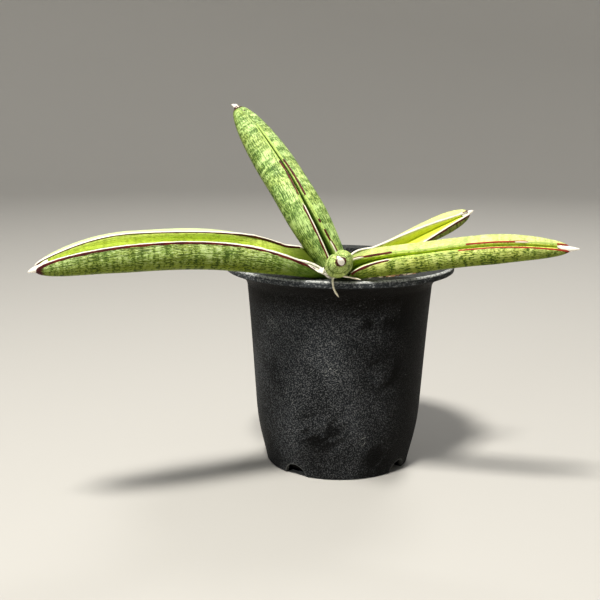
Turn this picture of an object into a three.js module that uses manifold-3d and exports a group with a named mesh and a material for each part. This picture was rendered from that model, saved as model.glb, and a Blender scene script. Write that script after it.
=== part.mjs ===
import * as THREE from 'three';
import * as BufferGeometryUtils from 'three/addons/utils/BufferGeometryUtils.js';
import Module from 'manifold-3d';

// A cylindrical-leaved succulent in a 9 cm nursery pot. Millimetres, +Z up, and the viewer stands
// at -Y. The origin is the middle of the pot's foot, on the surface that it stands on.

const wasm = await Module();
wasm.setup();

// Driving dimensions
const GAP = 0.3;

const POT = {
  rimRadius: 45,
  height: 80.8,
  footRadius: 28.6,
  bellyLow: 30.4,
  bellyHigh: 32.2,
  shoulderRadius: 32.9,
  shoulderHeight: 24,
  neckRadius: 36.5,
  neckHeight: 72,
  mouthRadius: 37.6,
  lipDrop: 2.2,
  wall: 1.2,
  floor: 1.6,
  segments: 44,
};
const NOTCH = { count: 4, width: 9.8, height: 4.6, firstAngle: -126.5, inner: 25.4 };

const MIX = { top: 73, segments: 32, grain: 5.4, relief: 2.1, sway: 1.7, seed: 11 };

// Each leaf is a thick boat. path is its middle line from the crown to the tip, a smooth curve
// through five points. facing is the way its channel looks at the foot and at the tip. The
// channel's width and depth are given at four even stations from foot to tip. The girth runs from
// footShare of the full half width up to all of it at fullFrom, and closes from taperFrom on.
// tipSink carries the closing end towards the leaf's back. spine is the hard tip: its length, how
// far it bends back and its radius at the root.
const LEAVES = [
  {
    name: 'leaf_standing',
    path: [
      [1.6, -31, 73.2], [-4.5, -31, 86.5], [-15, -26.5, 104.7], [-24.5, -15, 118.8], [-40, -1.2, 140.7],
    ],
    facing: [[0.32, -0.94, 0.1], [0.53, -0.88, 0.1]],
    halfWidth: 7.8, flatness: 0.75, footShare: 0.61, fullFrom: 0.41, taperFrom: 0.62, taperPower: 1.8,
    tipSink: 0.17, channelWidth: [4.4, 2.5, 1.6, 2], channelDepth: [4, 3, 2, 1],
    marginFrom: 0.1, spine: { length: 4.1, lean: 0.5, radius: 0.95 }, color: 0x8fae5a,
  },
  {
    name: 'leaf_short',
    path: [
      [2.8, -29.5, 76.3], [8.2, -29, 84.6], [18, -25.5, 88.9], [31.2, -20.5, 95], [47.8, -17, 102.4],
    ],
    facing: [[0.52, -0.74, 0.5], [0.72, -0.82, 0.5]],
    halfWidth: 4.1, flatness: 0.79, footShare: 0.61, fullFrom: 0.34, taperFrom: 0.76, taperPower: 1.87,
    tipSink: 0.21, channelWidth: [6.2, 7.6, 4.8, 1], channelDepth: [3, 3, 2.4, 0.8],
    marginFrom: 0.12, spine: { length: 2.4, lean: 0.35, radius: 0.9 }, color: 0x9cbb52,
  },
  {
    name: 'leaf_forward',
    path: [
      [1, -27, 75], [0.4, -29, 83.3], [-0.8, -38, 87.3], [-1.8, -52, 88.5], [-2.4, -66.5, 90.8],
    ],
    facing: [[-0.35, 0.1, 1], [-0.35, 0.1, 1]],
    halfWidth: 4.9, flatness: 0.97, footShare: 0.5, fullFrom: 0.6, taperFrom: 0.7, taperPower: 2.2,
    tipSink: 0.1, channelWidth: [4, 3.4, 2.4, 1.5], channelDepth: [2.5, 2.5, 2, 1],
    marginFrom: 0.3, spine: { length: 2.4, lean: 0.2, radius: 1.5 }, color: 0x88a862,
  },
  {
    name: 'leaf_left',
    path: [
      [4.5, -30, 75.8], [-6.8, -35.5, 83], [-40.6, -49, 92.3], [-77.4, -66.5, 94.3], [-101.5, -76, 91.4],
    ],
    facing: [[0.35, -0.45, 1], [0.34, -0.87, 1]],
    halfWidth: 7.9, flatness: 0.78, footShare: 0.4, fullFrom: 0.42, taperFrom: 0.74, taperPower: 1.45,
    tipSink: 0.45, channelWidth: [8, 6, 4.2, 1.2], channelDepth: [3.4, 4, 3, 0.8],
    marginFrom: 0.06, spine: { length: 2.5, lean: 0.3, radius: 0.95 }, color: 0x86a552,
  },
  {
    name: 'leaf_right',
    path: [
      [1.8, -30.5, 76.3], [3.4, -38.2, 84.3], [29.6, -46.5, 90.5], [54.5, -54, 94.5], [76.2, -57, 95.3],
    ],
    facing: [[-0.14, -0.73, 0.56], [-0.15, -1.01, 0.56]],
    halfWidth: 5.45, flatness: 0.78, footShare: 0.73, fullFrom: 0.27, taperFrom: 0.7, taperPower: 1.25,
    tipSink: 0.27, channelWidth: [8.5, 2.5, 1.8, 1.9], channelDepth: [3.4, 2.4, 2.2, 1],
    marginFrom: 0.14, spine: { length: 3.1, lean: 0.05, radius: 1.1 }, color: 0x8cab58,
  },
];
const LEAF_STATIONS = 28;
const TIP_CROWDING = 1.55;
const BACK_POINTS = 13;
const CHANNEL_POINTS = 5;
const TIP_SHARE = 0.1;
const MARGIN = { land: 0.5, width: 0.9, height: 0.62, seat: 0.26 };
const SPINE = { steps: 4, sides: 7, color: 0xefe8da };

// The rhizome creeps back from the crown, and its roots spread down through the mix.
const RHIZOME = { radius: 5, steps: 7, sides: 10 };
RHIZOME.path = [[1.5, -30, 74.5], [1.5, -27, 70], [2.5, -17, 63], [5, -4, 59]];
const ROOTS = { count: 6, thick: 1.5, thin: 0.7, length: 34, turnFrom: -18, steps: 5, sides: 6, seed: 5 };

const FIBRES = {
  dry_root_hanging: {
    radius: 0.36,
    points: [
      [-4.9, -42.2, 81.9], [-5, -44.6, 82.1], [-4.6, -46.3, 80.6],
      [-3.8, -46.8, 78.4], [-2.4, -47.2, 75.7],
    ],
  },
  dry_root_lying: {
    radius: 0.3,
    points: [
      [-4.2, -45.3, 82.1], [-2.4, -46, 82.3], [-0.6, -45.9, 82.1],
      [1.8, -45.4, 81.9], [4, -44.9, 81.7], [6, -44.4, 81.5],
    ],
  },
};

// Small helpers
const vec = ([x, y, z]) => new THREE.Vector3(x, y, z);
const smooth = (u) => u * u * (3 - 2 * u);
const clamp01 = (u) => Math.min(1, Math.max(0, u));

// A smooth run through values given at even stations.
function blend(values, t) {
  const points = values.map((value, i) => new THREE.Vector2(i, value));
  return new THREE.SplineCurve(points).getPoint(t).y;
}

// Repeatable random numbers from 0 to 1.
function dice(seed) {
  let state = seed;
  return () => {
    state = (state * 16807) % 2147483647;
    return state / 2147483647;
  };
}

function weld(geometry) {
  const bare = geometry.clone();
  bare.deleteAttribute('normal');
  bare.deleteAttribute('uv');
  const welded = BufferGeometryUtils.mergeVertices(bare, 1e-4);
  const old = welded.index.array;
  const kept = [];
  for (let i = 0; i < old.length; i += 3) {
    const [a, b, c] = [old[i], old[i + 1], old[i + 2]];
    if (a !== b && b !== c && c !== a) kept.push(a, b, c);
  }
  welded.setIndex(kept);
  return welded;
}

function toSolid(geometry) {
  const welded = weld(geometry);
  const mesh = new wasm.Mesh({
    numProp: 3,
    vertProperties: new Float32Array(welded.attributes.position.array),
    triVerts: new Uint32Array(welded.index.array),
  });
  return new wasm.Manifold(mesh);
}

function toGeometry(solid) {
  const mesh = solid.getMesh();
  const geometry = new THREE.BufferGeometry();
  geometry.setAttribute('position', new THREE.BufferAttribute(mesh.vertProperties, 3));
  geometry.setIndex(new THREE.BufferAttribute(mesh.triVerts, 1));
  return geometry;
}

// The largest of the pieces that a cut leaves.
function mainPiece(solid) {
  const pieces = solid.decompose();
  return pieces.reduce((best, piece) => (piece.volume() > best.volume() ? piece : best));
}

// A closed skin over rings of points that all have the same count. The outlines are the first
// and last ring in their own plane, for the end caps.
function loft(rings, firstOutline, lastOutline) {
  const count = rings[0].length;
  const positions = rings.flat().flatMap((point) => point.toArray());
  const index = [];
  for (let r = 0; r < rings.length - 1; r += 1) {
    for (let i = 0; i < count; i += 1) {
      const a = r * count + i;
      const b = r * count + ((i + 1) % count);
      index.push(a, b, b + count, a, b + count, a + count);
    }
  }
  const last = (rings.length - 1) * count;
  for (const [a, b, c] of THREE.ShapeUtils.triangulateShape(firstOutline, [])) index.push(c, b, a);
  for (const [a, b, c] of THREE.ShapeUtils.triangulateShape(lastOutline, [])) {
    index.push(a + last, b + last, c + last);
  }
  const geometry = new THREE.BufferGeometry();
  geometry.setAttribute('position', new THREE.Float32BufferAttribute(positions, 3));
  geometry.setIndex(index);
  return geometry;
}

// A round rod along a curve, with its radius given along the way.
function rod(curve, radiusAt, steps, sides) {
  const frames = curve.computeFrenetFrames(steps, false);
  const rings = [];
  const outlines = [];
  for (let s = 0; s <= steps; s += 1) {
    const radius = radiusAt(s / steps);
    const outline = [];
    const ring = [];
    for (let i = 0; i < sides; i += 1) {
      const turn = (2 * Math.PI * i) / sides;
      const flat = new THREE.Vector2(radius * Math.cos(turn), radius * Math.sin(turn));
      outline.push(flat);
      ring.push(curve.getPointAt(s / steps)
        .addScaledVector(frames.normals[s], flat.x)
        .addScaledVector(frames.binormals[s], flat.y));
    }
    rings.push(ring);
    outlines.push(outline);
  }
  return loft(rings, outlines[0], outlines[steps]);
}

// Pot: one moulded shell, closed at the foot but for four arched drain notches.
function makePot() {
  const { rimRadius, height, footRadius, bellyLow, bellyHigh, shoulderRadius, shoulderHeight } = POT;
  const { neckRadius, neckHeight, mouthRadius, lipDrop, wall, floor } = POT;
  const profile = new THREE.Path();
  profile.moveTo(0, 0);
  profile.lineTo(footRadius - 1.2, 0);
  profile.quadraticCurveTo(footRadius, 0, footRadius, 1);
  profile.bezierCurveTo(bellyLow, 9, bellyHigh, 14, shoulderRadius, shoulderHeight);
  profile.lineTo(neckRadius, neckHeight);
  profile.bezierCurveTo(neckRadius + 0.3, 75.2, 40, 76.3, rimRadius - 0.4, height - lipDrop - 0.4);
  profile.lineTo(rimRadius, height - lipDrop);
  profile.lineTo(rimRadius, height - 0.5);
  profile.lineTo(rimRadius - 0.5, height);
  profile.lineTo(mouthRadius + 0.6, height);
  profile.lineTo(mouthRadius, height - 0.6);
  profile.lineTo(neckRadius - wall, neckHeight);
  profile.lineTo(shoulderRadius - wall, shoulderHeight);
  profile.bezierCurveTo(bellyHigh - wall, 14.4, bellyLow - wall, 9.6, footRadius - wall, floor + 0.6);
  profile.lineTo(footRadius - wall - 0.8, floor);
  profile.lineTo(0, floor);
  const turned = new THREE.LatheGeometry(profile.getPoints(4), POT.segments);
  return cutNotches(toSolid(turned.rotateX(Math.PI / 2)));
}

function cutNotches(shell) {
  const { width, height, inner, count, firstAngle } = NOTCH;
  const arch = new THREE.Shape();
  arch.moveTo(-width / 2, -1);
  arch.lineTo(width / 2, -1);
  arch.lineTo(width / 2, 0.4);
  arch.bezierCurveTo(width / 2, height, width / 4, height, 0, height);
  arch.bezierCurveTo(-width / 4, height, -width / 2, height, -width / 2, 0.4);
  const depth = POT.rimRadius - inner;
  const block = new THREE.ExtrudeGeometry(arch, { depth, bevelEnabled: false, curveSegments: 5 });
  block.rotateX(Math.PI / 2).rotateZ(Math.PI / 2);
  block.translate(inner, 0, 0);
  let cut = shell;
  for (let i = 0; i < count; i += 1) {
    const angle = THREE.MathUtils.degToRad(firstAngle + (360 / count) * i);
    cut = cut.subtract(toSolid(block.clone().rotateZ(angle)));
  }
  return cut;
}

// Leaves: the section at one station, in the plane across the leaf. x runs across the leaf and y
// towards the channel.
function leafSection(leaf, t, grow) {
  const closed = clamp01((t - leaf.taperFrom) / (1 - leaf.taperFrom)) ** leaf.taperPower;
  const end = Math.sqrt(1 - closed) * (1 - TIP_SHARE) + TIP_SHARE;
  const girth = (leaf.footShare + (1 - leaf.footShare) * smooth(clamp01(t / leaf.fullFrom))) * end;
  const across = leaf.halfWidth * girth + grow;
  const deep = leaf.halfWidth * leaf.flatness * girth + grow;
  const sink = leaf.tipSink * leaf.halfWidth * leaf.flatness * (1 - end);
  const half = Math.min(Math.max(blend(leaf.channelWidth, t) / 2, 0.35), 0.93 * across);
  const turn = Math.asin(half / across);
  const rim = deep * Math.cos(turn);
  const depth = Math.min(Math.max(blend(leaf.channelDepth, t), 0.3), 1.1 * deep);
  return { across, deep, sink, half, turn, rim, depth };
}

function leafOutline(section) {
  const { across, deep, half, turn, rim, depth } = section;
  const land = Math.min(MARGIN.land, 0.45 * half);
  const start = turn + land / across;
  const outline = [];
  for (let i = 0; i < BACK_POINTS; i += 1) {
    const angle = start + ((2 * Math.PI - 2 * start) * i) / (BACK_POINTS - 1);
    outline.push(new THREE.Vector2(-across * Math.sin(angle), deep * Math.cos(angle)));
  }
  const reach = half - land;
  const brow = Math.min(depth, land);
  for (let i = 0; i < CHANNEL_POINTS; i += 1) {
    const side = 1 - (2 * i) / (CHANNEL_POINTS - 1);
    outline.push(new THREE.Vector2(reach * side, rim - brow - (depth - brow) * (1 - side * side)));
  }
  return outline;
}

function ellipseOutline({ across, deep }, count) {
  const outline = [];
  for (let i = 0; i < count; i += 1) {
    const angle = (2 * Math.PI * i) / count;
    outline.push(new THREE.Vector2(-across * Math.sin(angle), deep * Math.cos(angle)));
  }
  return outline;
}

// The white strip that sits on the land beside the channel, on the side that sign gives.
function marginOutline(outline, sign) {
  const outer = outline[sign < 0 ? 0 : BACK_POINTS - 1];
  const inner = outline[sign < 0 ? outline.length - 1 : BACK_POINTS];
  const along = outer.clone().sub(inner);
  const size = Math.min(1, along.length() / MARGIN.width);
  along.normalize();
  const out = new THREE.Vector2(-along.y, along.x).multiplyScalar(sign);
  const middle = outer.clone().add(inner).multiplyScalar(0.5);
  const place = (side, height) => middle.clone()
    .addScaledVector(along, side * size * MARGIN.width * 0.5)
    .addScaledVector(out, MARGIN.seat + height * size * MARGIN.height);
  const points = [place(-0.8, 0), place(0.8, 0), place(0.8, 0.6), place(0, 1), place(-0.8, 0.6)];
  return sign > 0 ? points : points.reverse();
}

const curves = new Map();
function leafCurve({ name, path }) {
  if (!curves.has(name)) curves.set(name, new THREE.CatmullRomCurve3(path.map(vec)));
  return curves.get(name);
}

function leafFrame(leaf, t) {
  const curve = leafCurve(leaf);
  const tangent = curve.getTangentAt(t);
  const facing = vec(leaf.facing[0]).lerp(vec(leaf.facing[1]), t);
  facing.addScaledVector(tangent, -facing.dot(tangent)).normalize();
  const lateral = facing.clone().cross(tangent);
  const middle = curve.getPointAt(t).addScaledVector(facing, -leafSection(leaf, t, 0).sink);
  return { tangent, facing, lateral, middle };
}

function toRing({ middle, lateral, facing }, outline) {
  return outline.map((point) => middle.clone()
    .addScaledVector(lateral, point.x)
    .addScaledVector(facing, point.y));
}

// Stations crowd towards the tip, where the leaf closes.
const station = (i) => 1 - (1 - i / LEAF_STATIONS) ** TIP_CROWDING;

function leafBody(leaf) {
  const rings = [];
  const outlines = [];
  for (let i = 0; i <= LEAF_STATIONS; i += 1) {
    const t = station(i);
    const outline = leafOutline(leafSection(leaf, t, 0));
    outlines.push(outline);
    rings.push(toRing(leafFrame(leaf, t), outline));
  }
  return toSolid(loft(rings, outlines[0], outlines[LEAF_STATIONS]));
}

// The room a leaf takes: its body with the channel filled, a gap larger all round.
function leafRoom(leaf) {
  const rings = [];
  const outlines = [];
  const steps = LEAF_STATIONS / 2;
  for (let i = 0; i <= steps; i += 1) {
    const t = station(2 * i);
    const frame = leafFrame(leaf, t);
    if (i === 0) frame.middle.addScaledVector(frame.tangent, -GAP);
    if (i === steps) frame.middle.addScaledVector(frame.tangent, GAP);
    const outline = ellipseOutline(leafSection(leaf, t, GAP * 1.3), 16);
    outlines.push(outline);
    rings.push(toRing(frame, outline));
  }
  return toSolid(loft(rings, outlines[0], outlines[steps]));
}

function marginStrip(leaf, sign) {
  const rings = [];
  const outlines = [];
  for (let i = 0; i <= LEAF_STATIONS; i += 1) {
    const t = station(i);
    if (t < leaf.marginFrom) continue;
    const outline = marginOutline(leafOutline(leafSection(leaf, t, 0)), sign);
    outlines.push(outline);
    rings.push(toRing(leafFrame(leaf, t), outline));
  }
  // The strip runs on past the leaf's end, into the root of the tip.
  const end = leafFrame(leaf, 1);
  end.middle.addScaledVector(end.tangent, leaf.spine.radius);
  const lastOutline = outlines[outlines.length - 1].map((point) => point.clone().multiplyScalar(0.45));
  rings.push(toRing(end, lastOutline));
  outlines.push(lastOutline);
  return toSolid(loft(rings, outlines[0], lastOutline));
}

function tipSpine({ spine, ...leaf }) {
  const { tangent, facing, middle } = leafFrame(leaf, 1);
  const root = middle.clone().addScaledVector(tangent, GAP);
  const bend = root.clone().addScaledVector(tangent, spine.length * 0.5);
  const point = root.clone().addScaledVector(tangent, spine.length * Math.sqrt(1 - spine.lean ** 2))
    .addScaledVector(facing, -spine.length * spine.lean);
  const curve = new THREE.QuadraticBezierCurve3(root, bend, point);
  const radiusAt = (u) => spine.radius * (1 - 0.85 * u ** 0.9);
  return toSolid(rod(curve, radiusAt, SPINE.steps, SPINE.sides));
}

// Rhizome with its roots, one body. Roots near the pot's wall turn inwards.
function rhizomeSolid(grow) {
  const curve = new THREE.CatmullRomCurve3(RHIZOME.path.map(vec));
  const swell = (u) => RHIZOME.radius * (0.8 + 0.2 * Math.cos(u * 15)) * Math.sqrt(1.08 - u * u) + grow;
  let solid = toSolid(rod(curve, swell, RHIZOME.steps, RHIZOME.sides));
  const roll = dice(ROOTS.seed);
  for (let i = 0; i < ROOTS.count; i += 1) {
    const start = curve.getPointAt(0.15 + (0.8 * i) / ROOTS.count);
    const heading = (4 * Math.PI * i) / ROOTS.count + roll();
    const reach = 9 + 7 * roll();
    const drop = ROOTS.length * (0.75 + 0.25 * roll());
    const inward = start.y < ROOTS.turnFrom ? 10 : 0;
    const out = new THREE.Vector3(reach * Math.cos(heading), reach * Math.sin(heading) + inward, -6);
    const down = new THREE.Vector3(6 * roll() - 3, 6 * roll() - 3 + inward * 0.6, -drop);
    const knee = start.clone().add(out);
    const end = knee.clone().add(down);
    const path = new THREE.QuadraticBezierCurve3(start, knee, end);
    const taper = (u) => ROOTS.thick + (ROOTS.thin - ROOTS.thick) * u + grow;
    solid = solid.add(toSolid(rod(path, taper, ROOTS.steps, ROOTS.sides)));
  }
  return solid;
}

// Potting mix: a tapered plug that fills the pot
function mixPlug() {
  const { wall, floor, footRadius, bellyLow, bellyHigh, shoulderRadius, shoulderHeight, neckRadius } = POT;
  const clear = wall + GAP;
  const shoulder = shoulderRadius - clear - 0.1;
  const profile = new THREE.Path();
  profile.moveTo(0, floor + GAP);
  profile.lineTo(footRadius - clear - 1.1, floor + GAP);
  profile.bezierCurveTo(bellyLow - clear - 0.3, 10.4, bellyHigh - clear - 0.2, 15, shoulder, shoulderHeight);
  profile.lineTo(neckRadius - clear, MIX.top + MIX.relief);
  profile.lineTo(0, MIX.top + MIX.relief);
  return toSolid(new THREE.LatheGeometry(profile.getPoints(3), MIX.segments).rotateX(Math.PI / 2));
}

function mixCore() {
  const core = new THREE.CylinderGeometry(POT.neckRadius, POT.neckRadius, MIX.top - MIX.relief * 2, 6);
  return toSolid(core.rotateX(Math.PI / 2).translate(0, 0, MIX.top / 2 - MIX.relief));
}

// The mix's top is a field of six-sided grains. Each is a fan about its own raised middle.
function grainField() {
  const roll = dice(MIX.seed);
  const reach = POT.neckRadius + MIX.grain;
  const rowStep = (MIX.grain * Math.sqrt(3)) / 2;
  const rows = Math.ceil(reach / rowStep);
  const columns = Math.ceil(reach / MIX.grain) + 1;
  const corner = MIX.grain / Math.sqrt(3);
  const found = new Map();
  const positions = [];
  const put = (x, y, z) => positions.push(x, y, z) / 3 - 1;
  const sway = () => (roll() - 0.5) * MIX.sway;
  // Corners are shared by the three grains that meet there, and each is shaken once.
  const cornerAt = (x, y) => {
    const key = `${Math.round(x * 10)},${Math.round(y * 10)}`;
    if (!found.has(key)) {
      found.set(key, put(x + sway(), y + sway(), (roll() - 0.6) * MIX.relief * 0.4));
    }
    return found.get(key);
  };
  const index = [];
  const edges = new Map();
  for (let row = -rows; row <= rows; row += 1) {
    for (let column = -columns; column <= columns; column += 1) {
      const x = (column + (row % 2 ? 0.5 : 0)) * MIX.grain;
      const y = row * rowStep;
      const top = put(x + sway(), y + sway(), MIX.relief * (0.35 + 0.65 * roll()));
      const ring = [0, 1, 2, 3, 4, 5].map((k) => {
        const angle = ((k + 0.5) * Math.PI) / 3;
        return cornerAt(x + corner * Math.cos(angle), y + corner * Math.sin(angle));
      });
      ring.forEach((a, k) => {
        const b = ring[(k + 1) % 6];
        index.push(top, a, b);
        if (!edges.delete(`${b},${a}`)) edges.set(`${a},${b}`, [a, b]);
      });
    }
  }
  // A skirt closes the field into a slab that reaches down into the plug.
  const depth = MIX.relief * 3;
  const below = put(0, 0, -depth);
  const lowered = new Map();
  const lower = (a) => {
    if (!lowered.has(a)) lowered.set(a, put(positions[3 * a], positions[3 * a + 1], -depth));
    return lowered.get(a);
  };
  for (const [a, b] of edges.values()) {
    index.push(b, a, lower(a), b, lower(a), lower(b), lower(b), lower(a), below);
  }
  const geometry = new THREE.BufferGeometry();
  geometry.setAttribute('position', new THREE.Float32BufferAttribute(positions, 3));
  geometry.setIndex(index);
  return geometry.translate(0, 0, MIX.top);
}

function mixSolid() {
  return mixPlug().intersect(toSolid(grainField()).add(mixCore()));
}

// Assembly
const plant = new THREE.Group();
plant.name = 'potted_succulent';

function addNode(name, solid, look) {
  const mesh = new THREE.Mesh(toGeometry(solid), new THREE.MeshStandardMaterial(look));
  mesh.name = name;
  plant.add(mesh);
}

const pot = makePot();
addNode('pot', pot, { color: 0x25272a, roughness: 0.62, metalness: 0 });

// The pot a gap larger about its rim, which the leaves and fibres stay clear of.
const rimRoom = toSolid(new THREE.LatheGeometry([
  new THREE.Vector2(POT.neckRadius - POT.wall - GAP, POT.neckHeight),
  new THREE.Vector2(POT.rimRadius + GAP, POT.height - POT.lipDrop - 1),
  new THREE.Vector2(POT.rimRadius + GAP, POT.height + GAP),
  new THREE.Vector2(POT.mouthRadius - GAP, POT.height + GAP),
  new THREE.Vector2(POT.neckRadius - POT.wall - GAP, POT.neckHeight),
], POT.segments).rotateX(Math.PI / 2));

// From the heart outwards, each leaf makes way for those before it.
const taken = [rimRoom];
for (const leaf of LEAVES) {
  const others = wasm.Manifold.union(taken);
  const body = mainPiece(leafBody(leaf).subtract(others));
  addNode(leaf.name, body, { color: leaf.color, roughness: 0.45, metalness: 0 });
  taken.push(leafRoom(leaf));
}
const leafRooms = taken.slice(1);
LEAVES.forEach((leaf, i) => {
  const strips = marginStrip(leaf, 1).add(marginStrip(leaf, -1)).add(tipSpine(leaf));
  const others = wasm.Manifold.union([rimRoom, ...leafRooms.filter((room, k) => k !== i)]);
  const margin = mainPiece(strips.subtract(others));
  const name = leaf.name.replace('leaf', 'margin');
  addNode(name, margin, { color: SPINE.color, roughness: 0.6, metalness: 0 });
});

const allLeaves = wasm.Manifold.union(leafRooms);
const rhizome = mainPiece(rhizomeSolid(0).subtract(allLeaves));
addNode('rhizome_with_roots', rhizome, { color: 0xd9b98c, roughness: 0.75, metalness: 0 });

const mix = mainPiece(mixSolid().subtract(allLeaves).subtract(rhizomeSolid(GAP)));
addNode('potting_mix', mix, { color: 0x6b5a48, roughness: 0.95, metalness: 0 });

for (const [name, fibre] of Object.entries(FIBRES)) {
  const curve = new THREE.CatmullRomCurve3(fibre.points.map(vec));
  const solid = toSolid(rod(curve, () => fibre.radius, 12, 5));
  addNode(name, solid, { color: 0xd8cdb0, roughness: 0.8, metalness: 0 });
}

export default plant;
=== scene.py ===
from math import cos, pi, radians, sin

import bmesh
import bpy
import numpy as np
from mathutils import Matrix, Vector, noise


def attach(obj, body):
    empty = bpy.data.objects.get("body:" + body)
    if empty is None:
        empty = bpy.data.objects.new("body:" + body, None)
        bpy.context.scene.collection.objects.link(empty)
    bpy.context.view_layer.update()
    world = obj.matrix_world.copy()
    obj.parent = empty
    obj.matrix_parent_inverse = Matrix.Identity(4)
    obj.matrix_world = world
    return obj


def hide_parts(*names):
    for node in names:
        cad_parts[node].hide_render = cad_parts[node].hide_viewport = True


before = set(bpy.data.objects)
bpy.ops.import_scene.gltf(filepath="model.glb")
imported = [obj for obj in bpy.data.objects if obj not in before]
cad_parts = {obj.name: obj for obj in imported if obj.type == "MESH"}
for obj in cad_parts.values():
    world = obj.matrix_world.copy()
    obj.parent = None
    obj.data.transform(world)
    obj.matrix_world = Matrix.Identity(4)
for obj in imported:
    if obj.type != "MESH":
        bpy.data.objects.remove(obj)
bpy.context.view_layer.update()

# Photographer's corner: a pale bench top that sweeps up all round, a large soft light from the
# upper left front, weaker ones from the left and behind, and the camera a hand's width above the rim.
MM = 0.001
CAMERA_PLACE = (-15.63 * MM, -414.9 * MM, 149.4 * MM)
CAMERA_PITCH = 11.5
CAMERA_ROLL = 0.39
FOCAL_LENGTH = 63.66
BENCH_REACH = 1.1
SWEEP = 0.5
SWEEP_STEP = radians(10)


def deselect():
    bpy.ops.object.select_all(action="DESELECT")


def put(tree, kind, inputs=None, **settings):
    """A shader node. Inputs are numbers, colours or another node's socket."""
    made = tree.nodes.new("ShaderNode" + kind)
    for name, value in settings.items():
        setattr(made, name, value)
    for key, value in (inputs or {}).items():
        if isinstance(value, bpy.types.NodeSocket):
            tree.links.new(value, made.inputs[key])
        else:
            made.inputs[key].default_value = value
    return made


def mixed(tree, factor, first, second):
    """The colour that lies between two colours."""
    return put(tree, "Mix", {0: factor, 6: first, 7: second}, data_type="RGBA").outputs[2]


def sums(tree, operation, first, second=0.0, clamp=False):
    inputs = {0: first, 1: second}
    return put(tree, "Math", inputs, operation=operation, use_clamp=clamp).outputs[0]


def times(tree, first, second, clamp=False):
    return sums(tree, "MULTIPLY", first, second, clamp)


def spread(tree, value, low, high, to_low=0.0, to_high=1.0):
    """A value stretched from one span onto another, held at the ends."""
    inputs = {"Value": value, "From Min": low, "From Max": high}
    inputs.update({"To Min": to_low, "To Max": to_high})
    return put(tree, "MapRange", inputs, interpolation_type="SMOOTHSTEP").outputs[0]


def srgb(red, green, blue):
    """A colour given as 0 to 255, in the numbers that the shader wants."""
    linear = [((c / 255 + 0.055) / 1.055) ** 2.4 if c > 10 else c / 255 / 12.92 for c in (red, green, blue)]
    return (*linear, 1.0)


def finish_for(name):
    """A new material with its node tree and its shader."""
    made = bpy.data.materials.new(name)
    made.use_nodes = True
    return made, made.node_tree, made.node_tree.nodes["Principled BSDF"]


def settle(node, values):
    """Sets what is the same all over the surface, or in the whole room."""
    for key, value in values.items():
        node.inputs[key].default_value = value


def wear(piece, material):
    piece.data.materials.clear()
    piece.data.materials.append(material)


def pick_open_edges():
    """In edit mode, selects the edges that have a face on one side only."""
    bpy.ops.mesh.select_all(action="DESELECT")
    bpy.ops.mesh.select_mode(type="EDGE")
    bpy.ops.mesh.select_non_manifold()


floor_finish, tree, shader = finish_for("bench_top")
settle(shader, {"Base Color": srgb(184, 182, 178), "Roughness": 0.85})

deselect()
bpy.ops.mesh.primitive_circle_add(vertices=96, radius=BENCH_REACH, fill_type="TRIFAN")
bench = bpy.context.object
bench.name = "bench"
bpy.ops.object.mode_set(mode="EDIT")
pick_open_edges()
for turn in range(1, 10):
    angle = SWEEP_STEP * turn
    radius = BENCH_REACH + SWEEP * sin(angle)
    before = BENCH_REACH + SWEEP * sin(angle - SWEEP_STEP)
    rise = SWEEP * (cos(angle - SWEEP_STEP) - cos(angle))
    bpy.ops.mesh.extrude_region_move(TRANSFORM_OT_translate={"value": (0, 0, rise)})
    bpy.ops.transform.resize(value=(radius / before, radius / before, 1))
bpy.ops.mesh.extrude_region_move(TRANSFORM_OT_translate={"value": (0, 0, 0.9)})
bpy.ops.object.mode_set(mode="OBJECT")
bpy.ops.object.shade_smooth()
wear(bench, floor_finish)

sky = bpy.data.worlds.new("room")
bpy.context.scene.world = sky
sky.use_nodes = True
settle(sky.node_tree.nodes["Background"], {"Color": (0.93, 0.96, 1.0, 1), "Strength": 0.16})


def softbox(name, place, aim, size, watts, colour):
    deselect()
    bpy.ops.object.light_add(type="AREA", location=place)
    light = bpy.context.object
    light.name = name
    light.rotation_euler = (Vector(aim) - Vector(place)).to_track_quat("-Z", "Y").to_euler()
    light.data.size = size
    light.data.energy = watts
    light.data.color = colour


softbox("key", (-0.19, -0.45, 1.0), (0, 0, 0.08), 0.18, 18, (1.0, 0.965, 0.89))
softbox("fill", (-0.6, -0.75, 0.3), (0, 0, 0.05), 0.45, 0.9, (0.82, 0.92, 1.0))
softbox("rim", (0.3, 0.62, 0.9), (0, 0, 0.1), 0.3, 4, (1.0, 0.98, 0.94))

deselect()
bpy.ops.object.camera_add(location=CAMERA_PLACE)
camera = bpy.context.object
pitch = Matrix.Rotation(radians(90 - CAMERA_PITCH), 3, "X")
camera.rotation_euler = (pitch @ Matrix.Rotation(radians(CAMERA_ROLL), 3, "Z")).to_euler()
camera.data.lens = FOCAL_LENGTH
camera.data.sensor_width = 36
bpy.context.scene.camera = camera
bpy.context.scene.view_settings.view_transform = "Standard"

# Nursery pot: one shell of black polypropylene, injection moulded in a mould with a fine spark
# finish. It flares at the top to a flange with a short upright lip, and four arched notches drain the
# foot.
FOOT = 28.6
SHOULDER = (32.9, 24)
NECK = (36.5, 72)
RIM = (45, 80.8)
MOUTH = 37.6
POT_WALL = 1.2
NOTCH_WIDTH, NOTCH_HEIGHT = 9.8, 4.6
NOTCH_ANGLES = (-126.5, -36.5, 53.5, 143.5)
NOTCH_CENTRE = NOTCH_HEIGHT - NOTCH_WIDTH / 2


def bend(start, pull, push, end, steps):
    """Points along a smooth bend, without its first point."""
    found = []
    for i in range(1, steps + 1):
        u = i / steps
        shares = ((1 - u) ** 3, 3 * u * (1 - u) ** 2, 3 * u * u * (1 - u), u**3)
        found.append(tuple(sum(s * p[k] for s, p in zip(shares, (start, pull, push, end))) for k in (0, 1)))
    return found


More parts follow.
